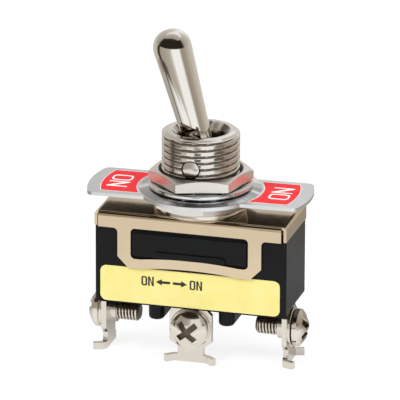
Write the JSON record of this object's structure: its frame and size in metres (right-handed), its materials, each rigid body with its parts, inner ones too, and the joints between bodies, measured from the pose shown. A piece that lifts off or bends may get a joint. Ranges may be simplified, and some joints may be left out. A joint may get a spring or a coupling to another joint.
{
  "type": "panel toggle switch",
  "caption": "Single pole changeover panel toggle switch with a bat lever, legend plate and three screw terminals.",
  "frame": {"origin": "on the bushing axis, at the foot of the terminals that the switch stands on", "axes": "+Z along the bushing axis towards the panel's front; X along the housing's length, the lever swings in the XZ plane; -Y is the side with the label"},
  "size_m": [0.0346, 0.0192, 0.0513],
  "materials": {
    "bright_nickel": "bright nickel plate on brass",
    "satin_nickel": "satin nickel plate",
    "satin_steel": "turned steel, satin",
    "aluminium_sheet": "anodised sheet, fine grain",
    "red_enamel": "filled enamel",
    "bracket_nickel": "warm nickel plate on steel sheet",
    "vulcanised_card": "vulcanised fibre, matt",
    "black_phenolic": "moulded phenolic, semi-gloss",
    "label_paper": "coated yellow label",
    "terminal_brass": "nickel plated brass",
    "screw_steel": "zinc plated steel",
    "nylon": "natural nylon",
    "spring_steel": "drawn spring wire",
    "bare_brass": "bare rolled brass",
    "silver_contact": "silver, satin"
  },
  "bodies": {
    "switch_body": {"housing": "black_phenolic", "label": "label_paper", "bracket": "bracket_nickel", "insulating_card": "vulcanised_card", "bushing": "bright_nickel", "pivot_pin": "satin_steel", "legend_plate": "aluminium_sheet", "red_fields": "red_enamel", "backing_nut": "satin_nickel", "terminal_left": "terminal_brass", "terminal_common": "terminal_brass", "terminal_right": "terminal_brass", "rocker_cradle": "bare_brass", "rocker_pin": "satin_steel", "fixed_contact_left": "silver_contact", "fixed_contact_right": "silver_contact"},
    "lever": {"toggle_lever": "bright_nickel"},
    "plunger_slide": {"plunger": "nylon", "plunger_spring": "spring_steel"},
    "rocker": {"rocker_contact": "bare_brass", "rocker_rivets": "silver_contact"},
    "lock_washer_lift": {"lock_washer": "satin_nickel"},
    "nut_turn": {"panel_nut": "satin_nickel"},
    "left_washer_travel": {"captive_washer_left": "screw_steel"},
    "left_screw_turn": {"screw_left": "screw_steel"},
    "common_washer_travel": {"captive_washer_common": "screw_steel"},
    "common_screw_turn": {"screw_common": "screw_steel"},
    "right_washer_travel": {"captive_washer_right": "screw_steel"},
    "right_screw_turn": {"screw_right": "screw_steel"}
  },
  "joints": [
    {"name": "lever_swing", "type": "hinge", "parent": "switch_body", "child": "lever", "pos_m": [0, 0, 0.03113], "axis": [0, 1, 0], "range_deg": [0, 29.3]},
    {"name": "rocker_tilt", "type": "hinge", "parent": "switch_body", "child": "rocker", "pos_m": [0, 0, 0.0164], "axis": [0, 1, 0], "range_deg": [-14, 0]},
    {"name": "plunger_press", "type": "slide", "parent": "lever", "child": "plunger_slide", "axis": [-0.2529, 0, 0.9675], "range_m": [0, 0.001], "stiffness_N_per_m": 600, "springref_m": -0.001, "deforming": ["plunger_spring"]},
    {"name": "nut_spin", "type": "hinge", "parent": "lock_washer_lift", "child": "nut_turn", "pos_m": [0, 0, 0.0289], "axis": [0, 0, 1], "range_deg": [0, 1441]},
    {"name": "washer_lift", "type": "slide", "parent": "switch_body", "child": "lock_washer_lift", "axis": [0, 0, 1], "range_m": [0, 0.004]},
    {"name": "left_screw_spin", "type": "hinge", "parent": "left_washer_travel", "child": "left_screw_turn", "pos_m": [-0.01475, -0.0008, 0.0056], "axis": [-1, 0, 0], "range_deg": [0, 1081]},
    {"name": "left_screw_travel", "type": "slide", "parent": "switch_body", "child": "left_washer_travel", "axis": [-1, 0, 0], "range_m": [0, 0.0015]},
    {"name": "common_screw_spin", "type": "hinge", "parent": "common_washer_travel", "child": "common_screw_turn", "pos_m": [0, -0.00555, 0.0056], "axis": [0, -1, 0], "range_deg": [0, 1081]},
    {"name": "common_screw_travel", "type": "slide", "parent": "switch_body", "child": "common_washer_travel", "axis": [0, -1, 0], "range_m": [0, 0.0015]},
    {"name": "right_screw_spin", "type": "hinge", "parent": "right_washer_travel", "child": "right_screw_turn", "pos_m": [0.01475, -0.0008, 0.0056], "axis": [1, 0, 0], "range_deg": [0, 1081]},
    {"name": "right_screw_travel", "type": "slide", "parent": "switch_body", "child": "right_washer_travel", "axis": [1, 0, 0], "range_m": [0, 0.0015]}
  ],
  "couplings": [
    {"joint": "rocker_tilt", "follows": "lever_swing", "ratio": -0.47782},
    {"joint": "nut_spin", "follows": "washer_lift", "rad_per_m": 6283.2},
    {"joint": "left_screw_spin", "follows": "left_screw_travel", "rad_per_m": 12566},
    {"joint": "common_screw_spin", "follows": "common_screw_travel", "rad_per_m": 12566},
    {"joint": "right_screw_spin", "follows": "right_screw_travel", "rad_per_m": 12566}
  ]
}
